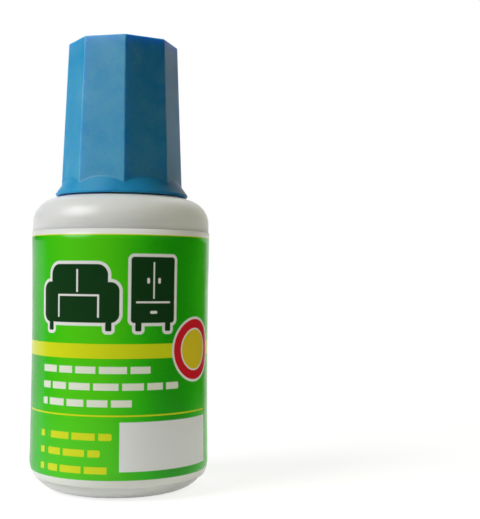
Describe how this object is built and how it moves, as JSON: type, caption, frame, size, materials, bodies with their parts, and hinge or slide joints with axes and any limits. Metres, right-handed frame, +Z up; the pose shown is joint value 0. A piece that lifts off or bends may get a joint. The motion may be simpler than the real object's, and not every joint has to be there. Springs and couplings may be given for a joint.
{
  "type": "brush-cap touch-up paint bottle",
  "caption": "Small round bottle with a wrapped label and an eight-sided screw cap that carries a brush, for dabbing paint on scratched furniture.",
  "frame": {"origin": "under the middle of the base, on the surface that the bottle stands on", "axes": "+Z up along the bottle's axis; -Y is the front, where a corner of the cap points and opposite the label's lap"},
  "size_m": [0.03, 0.0302, 0.075],
  "materials": {
    "bottle_hdpe": "satin blow-moulded",
    "label_film": "glossy printed film",
    "wiper_ldpe": "satin moulded",
    "ball_steel": "ground",
    "cap_pp": "satin moulded",
    "liner_foam": "foam",
    "stem_pp": "satin moulded",
    "anchor_brass": "drawn",
    "tuft_nylon": "drawn filament"
  },
  "bodies": {
    "bottle": {"bottle": "bottle_hdpe", "label": "label_film", "wiper_ring": "wiper_ldpe"},
    "liner": {"cap_liner": "liner_foam"},
    "cap": {"cap": "cap_pp", "brush_stem": "stem_pp", "tuft_anchor": "anchor_brass", "bristle_tuft": "tuft_nylon"},
    "ball": {"mixing_ball": "ball_steel"}
  },
  "joints": [
    {"name": "cap_lift", "type": "slide", "parent": "bottle", "child": "liner", "axis": [0, 0, 1], "range_m": [0, 0.06]},
    {"name": "cap_turn", "type": "hinge", "parent": "liner", "child": "cap", "pos_m": [0, 0, 0.062], "axis": [0, 0, 1], "range_deg": [0, 540]},
    {"name": "ball_shake", "type": "slide", "parent": "bottle", "child": "ball", "axis": [0, 0, 1], "range_m": [0, 0.042]}
  ]
}
